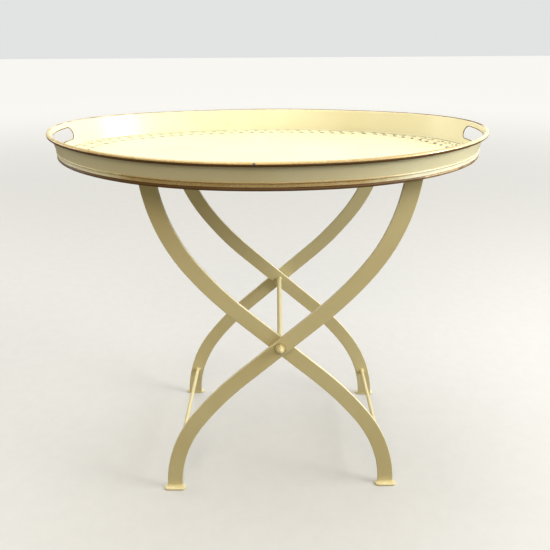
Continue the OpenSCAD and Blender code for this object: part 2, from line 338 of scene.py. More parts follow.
def rim_fade(t, out, height, gold, umber, edge):
    """Gilding thins at the back and both ends; umber and painted shade thin at the front's right. The back's
    outer side is umber.
    """
    back = clamp(BACK_STEEP * sin(t) + BACK_SHIFT)
    right = (1 - back) * clamp((cos(t) - RIGHT_FROM) / FADE_RUN)
    left = clamp((-cos(t) - LEFT_FROM) / FADE_RUN)
    if height > LINE_LOW - 1:
        gold *= (1 - RIGHT_GOLD_LOSS * right) * (1 - BACK_GOLD_LOSS * max(left, back))
        umber -= RIGHT_UMBER_AND_SHADE_LOSS * right
    if height > LINE_LOW and out > OUTER_SIDE:
        umber = max(umber, (BACK_UMBER + BACK_UMBER_RISE * cos(t)) * back)
    return out, height, gold, umber, edge


def wall_outline():
    """The wall and its rolled rim as one closed outline: inside, round the roll, and down the outside."""
    inside = [(wall_out(z) - HALF_SHEET, z, 0, 0, 0) for z in WALL_ROWS]
    lap = 180 - WALL_LEAN
    # The roll's underside and its inner face get umber, partly paint and partly a painted shade under the
    # roll.
    outer = [(out, z, RIM_GOLD * float(a < GILT_FROM), min(1.0, 0.5 + (GILT_TO - a) / UMBER_AND_SHADE_BLUR), 0)
             for out, z, a in arc(RIM_OUT, RIM_H, CURL_R + SHEET_T / 2, lap, CURL_END, 32)]
    inner = [(out, z, 1, 1, 0)
             for out, z, _ in arc(RIM_OUT, RIM_H, CURL_R - SHEET_T / 2, CURL_END, lap, 16)]
    outside = [(wall_out(z) + HALF_SHEET, z, 0, wall_line(z), 0) for z in reversed(WALL_ROWS)]
    return inside + outer + inner + outside


def near_slot(i):
    """Ring steps from the middle of the nearer slot, or None if far from both."""
    k = (i + RING_STEPS // 4) % (RING_STEPS // 2) - RING_STEPS // 4
    return k if -SLOT_REACH <= k <= SLOT_REACH else None


def build_tray_wall(material):
    """Leaning wall with a rolled rim and a finger slot cut through each end."""
    shape = Shape()
    outline = wall_outline()
    grid, along = ring_grid(shape, outline, rim_fade)
    last = len(outline) - 1
    inner_cells = range(PATCH_LOW, PATCH_HIGH)
    outer_cells = range(last - PATCH_HIGH, last - PATCH_LOW)

    def is_open(i, j):
        k = near_slot(i)
        return k is not None and k < SLOT_REACH and (j in inner_cells or j in outer_cells)

    ring_faces(shape, grid, is_open)
    step = 2 * pi / RING_STEPS
    turn_steps = 2 * (SLOT_REACH - SLOT_RUN) + PATCH_HIGH - PATCH_LOW
    hole = [(asin(y / (BASE_B + wall_out(SLOT_Z + z))), SLOT_Z + z)
            for y, z in stadium((SLOT_LEN - SLOT_H) / 2, SLOT_H / 2, 2 * SLOT_RUN, turn_steps)]
    for middle in (0, RING_STEPS // 2):
        loops = []
        for side, row_at in ((-1, lambda r: r), (1, lambda r: last - r)):
            border = [(grid[(middle + k) % RING_STEPS][row_at(r)], (k * step, WALL_ROWS[r]))
                      for k, r in patch_border(SLOT_RUN, SLOT_REACH, PATCH_LOW, PATCH_HIGH)]

            def place(turn, z, side=side):
                t = middle * step + turn
                climb = (z - FLOOR_Z) / cos(radians(WALL_LEAN))
                length = climb if side < 0 else along[-1] - climb
                line = wall_line(z) if side > 0 else 0.0
                out, z, *layers = rim_fade(t, wall_out(z) + side * HALF_SHEET, z, 0.0, line, 0.0)
                return oval(t, out, z), ring_brush(t, length), *layers

            loops.append(pierce(shape, border, hole, place))
        shape.bridge(*loops)
    return stand_in(make_object("tray_wall_sheet", shape, material), "tray_wall")


def build_hand_hold_edge(name, middle, material):
    """Rolled edge that lines a finger slot and follows the wall."""
    path = []
    loop = stadium((SLOT_LEN - SLOT_H) / 2, SLOT_H / 2 - EDGE_IN, 30, 16)
    lean = radians(WALL_LEAN)
    for (y, z), following in zip(loop, loop[1:] + loop[:1]):
        height = SLOT_Z + z
        t = middle + asin(y / (BASE_B + wall_out(height)))
        across = sideways((y, z), following)
        end = cos(middle)
        side = (end * across[1] * sin(lean), across[0] * end, across[1])
        out = (end * cos(lean), 0.0, -sin(lean))
        path.append((oval(t, wall_out(height), height), side, out))
    shape = Shape()
    tube(shape, path, lambda i: EDGE_R * (1 + 0.06 * soft_noise(0.3 * i, middle, 2.0)),
         gold=1.0, umber=EDGE_UMBER)
    return stand_in(make_object(name + "_roll", shape, material), name)


RIDGE_R, FLANGE_IN, FLANGE_T = 0.9, 12.0, 1.0
BAND_OUT, BAND_SWELL = -0.75, 0.35  # the band's offset at its top, and its swell towards its foot
BAND_FROM, BAND_DROP = 10.9, 5.7  # height of the band's top, and the height that it spans
BAND_STEPS = (0.0, 0.15, 0.3, 0.45, 0.6, 0.75, 0.88, 1.0)
BAND_CREASE_SHADE_FROM = 0.72  # share of the way down the band at which umber starts, a painted shade in the crease above the roll
PAINTED_Z = 5.3  # the band's gold fades above this height
DRAWN_Z, DRAWN_OUT = 5.5, -3.0  # the band is uneven above this height and outside this offset
FADE_RIGHT, FADE_LEFT, FADE_LEN = 0.2, 0.35, 0.45  # cosines at which the gold starts to fade, and its length
# Loss of gold at the ends, their pale edge, which is partly a painted highlight, and loss of umber and
# painted shade to the right.
GOLD_LOSS, PALE_EDGE_AND_HIGHLIGHT, MOULDING_UMBER_AND_SHADE_LOSS = 0.8, 0.95, 0.48


def moulding_outline():
    """Band, ridge and rolled lower edge outside the foot of the wall, with a flange under the floor."""
    gap = HALF_SHEET + SEAM
    top = FLOOR_Z - SEAM
    ridge = wall_out(BAND_TOP) + gap + RIDGE_R
    flange = [(-FLANGE_IN, top - FLANGE_T, 0, 0.3, 0), (-FLANGE_IN, top, 0, 0.3, 0)]
    back = [(wall_out(z) + gap, z, 0, 0, 0) for z in (top, 6.0, BAND_TOP)]
    crest = [(out, z, 1, 0, 0.1) for out, z, _ in arc(ridge, BAND_TOP, RIDGE_R, 160, -60, 10)]
    # Umber at the band's foot and on the whole roll: partly paint, partly a painted shade in the crease and
    # under the roll.
    band = [(BAND_OUT + BAND_SWELL * s * s, BAND_FROM - BAND_DROP * s, 1, clamp(8 * (s - BAND_CREASE_SHADE_FROM)), 0)
            for s in BAND_STEPS]
    roll = [(out, z, 1, 1, 0) for out, z, _ in arc(-ROLL_R, ROLL_R, ROLL_R, 40, -125, 16)]
    under = [(-5.6, top - FLANGE_T, 0, 0.5, 0)]
    return flange + back + crest + band + roll + under


def build_moulding(material):
    """Base moulding: gold on its front, fading to cream and painted highlight at the ends, over a roll of
    umber and painted shade. Drawn by hand.
    """
    def vary(t, out, height, gold, umber, edge):
        if out > DRAWN_OUT and height > DRAWN_Z:
            out += 0.22 * soft_noise(22 * cos(t), 22 * sin(t), 0.25 * height)
            height += 0.25 * soft_noise(9 * cos(t), 9 * sin(t), 11.0)
        drift = 0.25 * soft_noise(5 * cos(t), 5 * sin(t), 1.3)
        start = FADE_RIGHT if cos(t) > 0 else FADE_LEFT
        faded = clamp((abs(cos(t)) - start) / FADE_LEN + drift)
        # thin: how far the umber and painted shade fade towards the right end.
        thin = clamp((cos(t) - 0.35) / 0.3)
        # Towards the ends the gold fades and the edge layer turns pale: worn gilding and a painted highlight.
        if height > PAINTED_Z:
            gold *= 1 - GOLD_LOSS * faded
            edge = max(edge, PALE_EDGE_AND_HIGHLIGHT * faded)
        return out, height, gold, umber * (1 - MOULDING_UMBER_AND_SHADE_LOSS * thin), edge

    shape = Shape()
    grid, _ = ring_grid(shape, moulding_outline(), vary)
    ring_faces(shape, grid)
    return stand_in(make_object("base_moulding_band", shape, material), "base_moulding")


FLOOR_OUT = wall_out(FLOOR_Z) - HALF_SHEET - SEAM
FILLET = 3.0  # width of the soldered fillet where the floor meets the wall
FILLET_H = 1.4
CORE_INSET = 105.0  # the floor's rings end here, round a square grid


def floor_height(x, y, inset):
    """Height of the floor's top, with its fillet and its soft unevenness."""
    calm = min(1.0, inset / 25)
    dent = DENT * calm * max(0.0, soft_noise(x / 70, y / 70, 5.1) + 0.3 * soft_noise(x / 25, y / 25, 8.2))
    return SHEET_T + dent + FILLET_H * max(0.0, 1 - inset / FILLET) ** 2


def floor_point(t, inset, lift=0.0):
    """A point on top of the tray's floor."""
    x, y, z = oval(t, FLOOR_OUT - inset, FLOOR_Z)
    return x, y, z + floor_height(x, y, inset) + lift


def build_floor(material):
    """Floor sheet: a square grid in the middle and rings round it, with a soldered fillet beside the wall."""
    cells = 64
    insets = [90, 75, 62, 50, 40, 32, 25, 18, 12, 8, 5.5, 4, 3, 2.3, 1.6, 1.0, 0.5, 0.12]
    core_a, core_b = BASE_A + FLOOR_OUT - CORE_INSET, BASE_B + FLOOR_OUT - CORE_INSET
    bend = [sqrt(2) * sin(radians(90 * i / cells - 45)) for i in range(cells + 1)]
    shape = Shape()

    def add(x, y, z):
        return shape.add((x, y, z), (0.1 * x, y, 0.0))

    edges = []
    for top in (True, False):
        core = []
        for u in bend:
            column = []
            for v in bend:
                x = core_a * u * sqrt(1 - v * v / 2)
                y = core_b * v * sqrt(1 - u * u / 2)
                lift = floor_height(x, y, CORE_INSET) - (0 if top else SHEET_T)
                column.append(add(x, y, TRAY_Z + FLOOR_Z + bow(x) + lift))
            core.append(column)
        for i in range(cells):
            for j in range(cells):
                shape.faces.append((core[i][j], core[i + 1][j], core[i + 1][j + 1], core[i][j + 1]))
        ring = ([core[i][0] for i in range(cells)] + [core[cells][j] for j in range(cells)]
                + [core[i][cells] for i in range(cells, 0, -1)] + [core[0][j] for j in range(cells, 0, -1)])
        for inset in insets:
            following = []
            for k in range(len(ring)):
                t = 2 * pi * k / len(ring) - radians(135)
                x, y, z = floor_point(t, inset)
                if not top:
                    z -= SHEET_T + FILLET_H * max(0.0, 1 - inset / FILLET) ** 2
                following.append(add(x, y, z))
            shape.bridge(ring, following)
            ring = following
        edges.append(ring)
    shape.bridge(*edges)
    return stand_in(make_object("tray_floor_sheet", shape, material), "tray_floor")


# ---- painted leaf border

LEAF_PITCH = 22.4
BORDER_IN = 37.0  # inset of the leaves from the floor's edge
STRAY, STRAY_AT, STRAY_SPREAD = 16.0, 48.0, 15.0  # how far they stray outwards, where, and over what angle
STROKE_LIFT = 0.16  # thickness of the paint at the middle of a stroke
STROKE_STEPS = 7
PINSTRIPE_IN, PINSTRIPE_W = 2.6, 2.0  # inset and width of the line beside the wall


def border_table(inset, steps=2000):
    """Arc lengths and directions round the oval at this inset."""
    t = np.linspace(0, 2 * pi, steps + 1)
    x = (BASE_A + FLOOR_OUT - inset) * np.cos(t)
    y = (BASE_B + FLOOR_OUT - inset) * np.sin(t)
    return np.concatenate([[0], np.cumsum(np.hypot(np.diff(x), np.diff(y)))]), t


def add_stroke(shape, table, start, bend, end, width, belly):
    """A tapered brush stroke along a curve through three points of (distance along the border, inset)."""
    lengths, directions = table

    def curve(s):
        return [(1 - s) ** 2 * a + 2 * s * (1 - s) * b + s * s * c for a, b, c in zip(start, bend, end)]

    def put(along, inset, lift):
        t = float(np.interp(along % lengths[-1], lengths, directions))
        return shape.add(floor_point(t, inset, lift), (0.1 * along, inset, 0.0), 0.0, 1.0)

    tip = put(*curve(0), 0.02)
    rows = []
    for i in range(1, STROKE_STEPS):
        s = i / STROKE_STEPS
        along, inset = curve(s)
        side = sideways(curve(s - 0.02), curve(s + 0.02))
        half = width / 2 * sin(pi * s ** belly) ** 0.8
        rows.append([put(along - half * side[0], inset - half * side[1], 0.02),
                     put(along, inset, STROKE_LIFT),
                     put(along + half * side[0], inset + half * side[1], 0.02)])
    last = put(*curve(1), 0.02)
    for a, b in zip(rows, rows[1:]):
        shape.bridge(a, b)
    shape.faces += [(tip, rows[0][j], rows[0][(j + 1) % 3]) for j in range(3)]
    shape.faces += [(last, rows[-1][(j + 1) % 3], rows[-1][j]) for j in range(3)]


def add_pinstripe(shape, steps=960):
    """Thin painted line round the floor, of uneven width."""
    rows = []
    for i in range(steps):
        t = 2 * pi * i / steps
        half = PINSTRIPE_W / 2 * (1 + 0.35 * soft_noise(12 * cos(t), 12 * sin(t), 6.6))
        middle = PINSTRIPE_IN + 0.25 * soft_noise(5 * cos(t), 5 * sin(t), 9.1)
        rows.append([shape.add(floor_point(t, middle + side * half, lift), (0.1 * i, side, 0.0))
                     for side, lift in ((-1, 0.02), (0, 0.1), (1, 0.02))])
    for row, following in zip(rows, rows[1:] + rows[:1]):
        shape.bridge(row, following)


def border_inset(t):
    """Inset of the leaf border in direction t. The painter let it stray outwards at one place."""
    away = (degrees(t) - STRAY_AT) / STRAY_SPREAD
    return BORDER_IN - STRAY * exp(-away * away)


def build_leaf_border(dark, pale):
    """Garland of comma-shaped leaves with a row of sprigs outside them, and a pinstripe beside the wall."""
    rng = random.Random(11)
    table = border_table(BORDER_IN)
    lengths, directions = table
    count = round(lengths[-1] / LEAF_PITCH)
    leaves, sprigs = Shape(), Shape()
    for i in range(count):
        at = lengths[-1] * i / count + rng.uniform(-1.2, 1.2)
        drop = border_inset(float(np.interp(at % lengths[-1], lengths, directions))) + rng.uniform(-1.2, 1.2)
        size = rng.uniform(0.85, 1.15)
        gap_at = at + LEAF_PITCH / 2 + rng.uniform(-1.5, 1.5)
        strokes = (  # start, bend, end, width, belly: the leaf, then its stem and three small strokes
            ((at + 5.5 * size, drop - 5.5), (at + 2.0, drop + 0.5), (at - 6.0 * size, drop + 4.5), 7.0, 1.2),
            ((at + 4.5, drop - 5.0), (at + 10.0, 0.66 * drop), (gap_at + 3.0, 0.34 * drop), 1.4, 1.0),
            ((gap_at + 5.0, 0.3 * drop), (gap_at + 0.5, 0.32 * drop), (gap_at - 6.5, 0.46 * drop), 5.4, 0.9),
            ((gap_at + 9.5, 0.5 * drop), (gap_at + 3.5, 0.46 * drop), (gap_at - 3.5, 0.6 * drop), 2.6, 0.9),
            ((at - 3.0, drop + 7.5), (at + 3.0, drop + 10.0), (at + 9.0 * size, drop + 8.0), 1.8, 1.2),
        )
        for shape, stroke in zip((leaves, *4 * [sprigs]), strokes):
            *curve, width, belly = stroke
            add_stroke(shape, table, *curve, width * size, belly)
    add_pinstripe(leaves)
    for name, shape, material in (("painted_leaves", leaves, dark), ("painted_sprigs", sprigs, pale)):
        obj = make_object(name, shape, material)
        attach(obj, "tray")


# ---- stand

def leg_line(s, bend_r):
    """Middle line of half a leg at distance s from the pivot: x, height and lean."""
    if s <= STRAIGHT:
        return s * sin(LEG_LEAN), s * cos(LEG_LEAN), LEG_LEAN
    if s <= STRAIGHT + SLACK_LEN:
        lean = LEG_LEAN - (s - STRAIGHT) / SLACK_R
        return *bend_end(STRAIGHT_END, SLACK_R, LEG_LEAN, lean), lean
    lean = SLACK_LEAN - (s - STRAIGHT - SLACK_LEN) / bend_r
    return *bend_end(SLACK_END, bend_r, SLACK_LEAN, lean), lean


def half_length(bend_r, rise):
    """Length of half a leg that ends at this height from the pivot."""
    lean = asin(sin(SLACK_LEAN) - (rise - SLACK_END[1]) / bend_r)
    return STRAIGHT + SLACK_LEN + bend_r * (SLACK_LEAN - lean)


def bar_section(half_t, corner):
    """A bar's section as (across, through, edge), from its front's left, and the length of its front row."""
    flat = BAR_W / 2 - corner
    soft = flat - 0.9
    row = [-flat, -soft, *HOLE_COLUMNS, soft, flat]
    # The edge layer, high on the corners and side faces, paints them pale: partly wear, partly a painted
    # highlight.
    front = [(w, -half_t, 0.35 * float(abs(w) == flat)) for w in row]
    turn = [(flat + corner * sin(a), -half_t + corner - corner * cos(a), 1.0)
            for a in (radians(30), radians(60))]
    side = [(BAR_W / 2, -half_t + corner, 1.0), (BAR_W / 2, 0.0, 0.85), (BAR_W / 2, half_t - corner, 1.0)]
    back_turn = [(w, -y, e) for w, y, e in reversed(turn)]
    half = front + turn + side + back_turn
    return half + [(-w, -y, e) for w, y, e in half], len(row)


def fill_leg(shape, grid, stations, middle, section, row_len, place):
    """Quads along a leg, except round its pin's hole, and the skin and the wall of the hole."""
    count = len(section)
    back_start = count // 2
    front_cells = range(HOLE_ROWS, row_len - HOLE_ROWS - 1)
    open_cells = set(front_cells) | {back_start + c for c in front_cells}
    for i in range(len(grid) - 1):
        for j in range(count):
            if not (-HOLE_ROWS <= i - middle < HOLE_ROWS and j in open_cells):
                k = (j + 1) % count
                shape.faces.append((grid[i][j], grid[i + 1][j], grid[i + 1][k], grid[i][k]))
    cells = len(front_cells)
    hole = stadium(0.0, PIN_R, 0, 2 * HOLE_ROWS + cells)
    loops = []
    for first, flip in ((HOLE_ROWS, 1), (back_start + HOLE_ROWS, -1)):
        border = []
        for k, r in patch_border(0, HOLE_ROWS, 0, cells):
            column = first + (r if flip > 0 else cells - r)
            border.append((grid[middle + k][column], (stations[middle + k], section[column][0])))
        face_y = section[first][1]
        loops.append(pierce(shape, border, hole, lambda s, w, y=face_y: place(s, w, y), 3))
    shape.bridge(*loops)


def build_leg(node, lean_side, seed, material):
    """An S-shaped bar with softened edges and slight forging marks, pierced for the pivot pin."""
    low, high = box(node)
    mid_y, half_t = (low[1] + high[1]) / 2, (high[1] - low[1]) / 2
    up, down = half_length(UPPER_R, high[2] - PIVOT_Z), half_length(LOWER_R, PIVOT_Z - low[2])
    near = HOLE_STEP * np.arange(-HOLE_STEPS, HOLE_STEPS + 1)
    above = np.linspace(near[-1], up, UPPER_ROWS)[1:]
    below = np.linspace(-down, near[0], LOWER_ROWS)[:-1]
    stations = np.concatenate([below, near, above])
    middle = len(below) + HOLE_STEPS
    section, row_len = bar_section(half_t, BAR_CORNER)
    shape = Shape()

    def place(s, w, y, edge=0.0):
        x, z, lean = leg_line(abs(s), UPPER_R if s > 0 else LOWER_R)
        sign = 1 if s >= 0 else -1
        calm = min(1.0, abs(s) / CALM_LEN)
        w_now = w * (1 + 0.012 * calm * soft_noise(s / 45, seed, 0.4))
        w_now += 0.25 * calm * soft_noise(s / 90, seed, 3.3)
        y_now = y * (1 + 0.03 * calm * soft_noise(s / 30, w / 15, seed))
        px = sign * x + w_now * cos(lean)
        pz = sign * z - w_now * sin(lean)
        spot = (STAND_X + lean_side * px, mid_y + y_now, PIVOT_Z + pz)
        return spot, (0.1 * s + seed, w, y), 0.0, 0.0, edge

    grid = [[shape.add(*place(s, w, y, e)) for w, y, e in section] for s in stations]
    for row, goal in ((grid[0], low[2]), (grid[-1], high[2])):
        lean = leg_line(down if goal == low[2] else up, LOWER_R if goal == low[2] else UPPER_R)[2]
        for index in row:
            x, y, z = shape.points[index]
            shape.points[index] = (x + lean_side * (goal - z) * tan(lean), y, goal)
    fill_leg(shape, grid, stations, middle, section, row_len, place)
    shape.faces += [tuple(grid[0]), tuple(grid[-1])]
    return stand_piece(node, "_bar", shape, material)


def turned(shape, profile, centre, direction, sides, radius_at=None):
    """A body turned about an axis along Y. Its profile is (distance from centre, radius, edge)."""
    rows = []
    for distance, radius, edge in profile:
        row = []
        for k in range(sides):
            a = 2 * pi * k / sides
            r = radius_at(distance, radius, a) if radius_at else radius
            point = (centre[0] + r * cos(a), centre[1] + direction * distance, centre[2] + r * sin(a))
            brush = (0.1 * distance + centre[0], r * cos(a), r * sin(a))
            row.append(shape.add(point, brush, edge=edge))
        rows.append(row)
    for a, b in zip(rows, rows[1:]):
        shape.bridge(a, b)
    shape.faces += [tuple(rows[0]), tuple(rows[-1])]


def add_rod(shape, low, high, bead, spread, seed):
    """A round rod along Y that fills the box from low to high, with lumpy beads of weld at its ends."""
    radius = (high[2] - low[2]) / 2
    length = high[1] - low[1]
    centre = ((low[0] + high[0]) / 2, low[1], (low[2] + high[2]) / 2)
    ends = [spread * s for s in (0.03, 0.2, 0.4, 0.6, 0.8, 1.0)]
    body = list(np.linspace(spread + 3, length - spread - 3, 24))
    stations = ends + body + [length - e for e in reversed(ends)]

    def lumpy(distance, base, angle):
        reach = min(distance, length - distance)
        end_seed = seed + (7.0 if distance > length / 2 else 0.0)
        lump = 1 + 0.55 * soft_noise(1.6 * cos(angle), 1.6 * sin(angle), end_seed)
        flare = bead * lump * max(0.0, 1 - reach / (spread * lump)) ** 1.6
        return base + flare + 0.06 * soft_noise(distance / 18, angle, seed)

    # Edge 0.65 all round gives the rods pale patches: partly wear, partly a painted highlight.
    turned(shape, [(d, radius, 0.65) for d in stations], centre, 1, 40, lumpy)


def build_cross_rod(node, seed, material):
    """A rod between two legs. The tray lies on the top rods, so their welds are ground off below it."""
    shape = Shape()
    add_rod(shape, *box(node), WELD_H, WELD_RUN, seed)
    shape.points = [(x, y, min(z, TRAY_Z + FLOOR_Z + bow(x) - SEAM)) for x, y, z in shape.points]
    return stand_piece(node, "_welded", shape, material)


def build_pivot_rod(node, seed, material):
    """A rod between the inner legs, with thinner pins through the legs to the cap nuts."""
    tip = box(node)[1][1]
    shoulder = -box("inner_front_leg")[1][1]
    shape = Shape()
    low = (STAND_X - PIVOT_ROD_R, -shoulder, PIVOT_Z - PIVOT_ROD_R)
    high = (STAND_X + PIVOT_ROD_R, shoulder, PIVOT_Z + PIVOT_ROD_R)
    add_rod(shape, low, high, PIVOT_WELD_H, PIVOT_WELD_RUN, seed)
    reach = tip - shoulder - 0.3
    for side in (-1, 1):
        profile = [(distance, PIN_R - PIN_PLAY, 0.0) for distance in (0.05, reach / 2, reach - 0.6)]
        profile.append((reach, PIN_R - 0.7, 0.3))
        turned(shape, profile, (STAND_X, side * shoulder, PIVOT_Z), side, 32)
    return stand_piece(node, "_turned", shape, material)


def build_foot(node, leg, material):
    """A foot plate with round ends, a soft top edge and a weld along three sides of its leg."""
    low, high = box(node)
    thick, depth = high[2] - low[2], high[1] - low[1]
    centre = (low + high) / 2
    half_run = (high[0] - low[0] - depth) / 2
    shape = Shape()

    # The plate's edge layer is high all over: pale patches, partly wear and partly a painted highlight.
    def ring(inset, z, edge=0.75):
        return [shape.add((centre[0] + x, centre[1] + y, low[2] + z), (0.1 * x, y, z), edge=edge)
                for x, y in stadium(half_run, depth / 2 - inset, 14, 18)]

    top_r, foot_r = 1.7, 0.5
    rings = [ring(3.5, 0), ring(foot_r, 0), ring(0.15, 0.15, 0.8), ring(0, foot_r, 0.6)]
    for a in (0, 18, 36, 54, 72, 90):
        turn = radians(a)
        rings.append(ring(top_r * (1 - cos(turn)), thick - top_r + top_r * sin(turn)))
    rings += [ring(3.0, thick), ring(5.0, thick)]
    for a, b in zip(rings, rings[1:]):
        shape.bridge(a, b)
    shape.faces += [tuple(rings[0]), tuple(rings[-1])]
    add_foot_weld(shape, node, leg, high[2])
    return stand_piece(node, "_plate", shape, material)


def add_foot_weld(shape, node, leg, top):
    """Weld bead where a leg stands on its plate. The leg's inner face is flush, so it has none."""
    leg_low, leg_high = box(leg)
    outward = 1 if leg_low[1] > 0 else -1
    inner = leg_low[1] if outward > 0 else leg_high[1]
    outer = leg_high[1] if outward > 0 else leg_low[1]
    foot_low, foot_high = box(node)
    middle = (foot_low[0] + foot_high[0]) / 2
    half = BAR_W / 2
    corners = [(-half, inner + outward * 1.2), (-half, outer), (half, outer), (half, inner + outward * 1.2)]
    path = []
    for (x1, y1), (x2, y2) in zip(corners, corners[1:]):
        steps = max(3, round(hypot(x2 - x1, y2 - y1) / 1.4))
        path += [(x1 + (x2 - x1) * (i / steps), y1 + (y2 - y1) * (i / steps)) for i in range(steps)]
    path.append(corners[-1])
    line = []
    for i, (x, y) in enumerate(path):
        side = (*sideways(path[max(0, i - 1)], path[min(len(path) - 1, i + 1)]), 0.0)
        line.append(((middle + x, y, top + 0.1), side, (0.0, 0.0, 1.0)))

    def radius(i):
        ends = min(1.0, (min(i, len(line) - 1 - i) + 0.4) / 2.5)
        return 1.15 * ends * (1 + 0.4 * soft_noise(0.9 * i, 0.01 * middle, 4.4))

    tube(shape, line, radius, sides=8, closed=False)


def build_cap_nut(node, material):
    """Hexagonal cap nut with chamfered corners and a smooth dome."""
    low, high = box(node)
    direction = 1 if low[1] > 0 else -1
    face = low[1] if direction > 0 else high[1]
    height = high[1] - low[1]
    dome_r = NUT_HALF - DOME_IN
    corner = NUT_HALF / cos(pi / 6)

    def hexagonal(distance, radius, angle):
        local = (angle - pi / 6) % (pi / 3) - pi / 6
        return min(radius, NUT_HALF * min(1 / cos(local), NUT_CLIP)) if distance <= NUT_HEX_H else radius

    # High edge values on the chamfers: pale edges, partly wear and partly a painted highlight.
    profile = [(0.0, corner - 1.0, 0.3), (0.35, corner, 0.8), (1.2, corner, 0.1)]
    profile += [(NUT_HEX_H / 2, corner, 0.0), (NUT_HEX_H - 1.1, corner, 0.1)]
    profile += [(NUT_HEX_H - 0.3, corner - 0.75, 0.9), (NUT_HEX_H, corner - 1.3, 0.4)]
    profile.append((NUT_HEX_H + 0.05, dome_r, 0.0))
    centre = height - dome_r
    start = asin(min(1.0, max(-1.0, (NUT_HEX_H + 0.1 - centre) / dome_r)))
    for i in range(9):
        turn = start + (pi / 2 - start) * i / 8
        profile.append((centre + dome_r * sin(turn), max(0.12, dome_r * cos(turn)), 0.15))
    shape = Shape()
    turned(shape, profile, (STAND_X, face, PIVOT_Z), direction, 72, hexagonal)
    return stand_piece(node, "_domed", shape, material, 30.0)


def dress(node, material):
    """A CAD node that keeps its shape and gets a material."""
    obj = frame["nodes"][node]
    obj.data.materials.clear()
    obj.data.materials.append(material)


# ---- materials

class Paint:
    """The nodes of a material or a world, its owner. Each method adds one and returns its output."""

    def __init__(self, owner):
        owner.use_nodes = True
        self.owner, self.tree = owner, owner.node_tree

    def node(self, kind, inputs=None, **settings):
        node = self.tree.nodes.new("ShaderNode" + kind)
        for key, value in settings.items():
            setattr(node, key, value)
        for key, value in (inputs or {}).items():
            self.plug(node.inputs[key], value)
        return node

    def plug(self, socket, value):
        if isinstance(value, bpy.types.NodeSocket):
            self.tree.links.new(value, socket)
        else:
            socket.default_value = value

    def layer(self, name, output="Fac"):
        return self.node("Attribute", attribute_name=name).outputs[output]

    def place(self):
        return self.node("TexCoord").outputs["Object"]

    def noise(self, vector, scale, detail=3.0, roughness=0.55):
        return self.node("TexNoise", {"Vector": vector, "Scale": scale, "Detail": detail,
                                      "Roughness": roughness}).outputs["Fac"]

    def math(self, operation, a, b=0.0):
        return self.node("Math", {0: a, 1: b}, operation=operation).outputs[0]

    def times(self, a, b):
        return self.math("MULTIPLY", a, b)

    def vector(self, operation, a, b=(0.0, 0.0, 0.0), output="Value"):
        return self.node("VectorMath", {0: a, 1: b}, operation=operation).outputs[output]

    def ramp(self, value, low, high, out_low=0.0, out_high=1.0):
        return self.node("MapRange", {"Value": value, "From Min": low, "From Max": high, "To Min": out_low,
                                      "To Max": out_high}, interpolation_type="SMOOTHSTEP").outputs[0]

    def blend(self, share, a, b, mode="MIX"):
        return self.node("Mix", {0: share, 6: a, 7: b}, data_type="RGBA", blend_type=mode).outputs[2]

    def bump(self, height, strength, distance, normal=None):
        inputs = {"Height": height, "Strength": strength, "Distance": distance}
        if normal is not None:
            inputs["Normal"] = normal
        return self.node("Bump", inputs).outputs["Normal"]

    def finish(self, **values):
        shader = self.tree.nodes["Principled BSDF"]
        for key, value in values.items():
            self.plug(shader.inputs[key.replace("_", " ")], value)
        return self.owner


def new_paint(name):
    return Paint(bpy.data.materials.new(name))


def rgb(r, g, b):
    return (r, g, b, 1.0)


GOLD = rgb(0.50, 0.32, 0.11)
GOLD_PALE = rgb(0.78, 0.61, 0.31)
# Umber brown: umber paint, specks of dirt, and painted shade.
UMBER_AND_SHADE_BROWN = rgb(0.125, 0.056, 0.008)
CHIPPED = rgb(0.07, 0.06, 0.075)
STEEL_DULL, STEEL_STAIN = rgb(0.50, 0.49, 0.46), rgb(0.26, 0.20, 0.14)


def near_point(paint, place, point, radius):
    """1 within a ragged spot of this radius round a point, in millimetres."""
    distance = paint.vector("DISTANCE", place, tuple(c * MM for c in point))
    stray = 0.4 * radius * MM
    ragged = paint.math("ADD", distance, paint.ramp(paint.noise(place, 700, 2), 0.3, 0.7, -stray, stray))
    return paint.ramp(ragged, 1.1 * radius * MM, 0.8 * radius * MM)


def grime_and_shade_ring(paint, place):
    """1 in a thin ragged ring round the pivot's washers, partly dirt and partly a painted shade, but not
    inside the inner legs.
    """
    flat = paint.vector("MULTIPLY", place, (1.0, 0.0, 1.0), "Vector")
    distance = paint.vector("DISTANCE", flat, (STAND_X * MM, 0.0, PIVOT_Z * MM))
    stray = 0.4 * MM
    distance = paint.math("ADD", distance, paint.ramp(paint.noise(place, 400, 2), 0.3, 0.7, -stray, stray))
    outside = paint.ramp(distance, (WASHER_R - 0.7) * MM, (WASHER_R - 0.2) * MM)
    ring = paint.times(outside, paint.ramp(distance, (WASHER_R + 2.0) * MM, (WASHER_R + 0.5) * MM))
    low, high = box("inner_rear_leg")
    depth = paint.math("ABSOLUTE", paint.node("SeparateXYZ", {0: place}).outputs["Y"])
    return paint.times(ring, paint.ramp(depth, (low[1] + 1) * MM, (high[1] - 1) * MM))


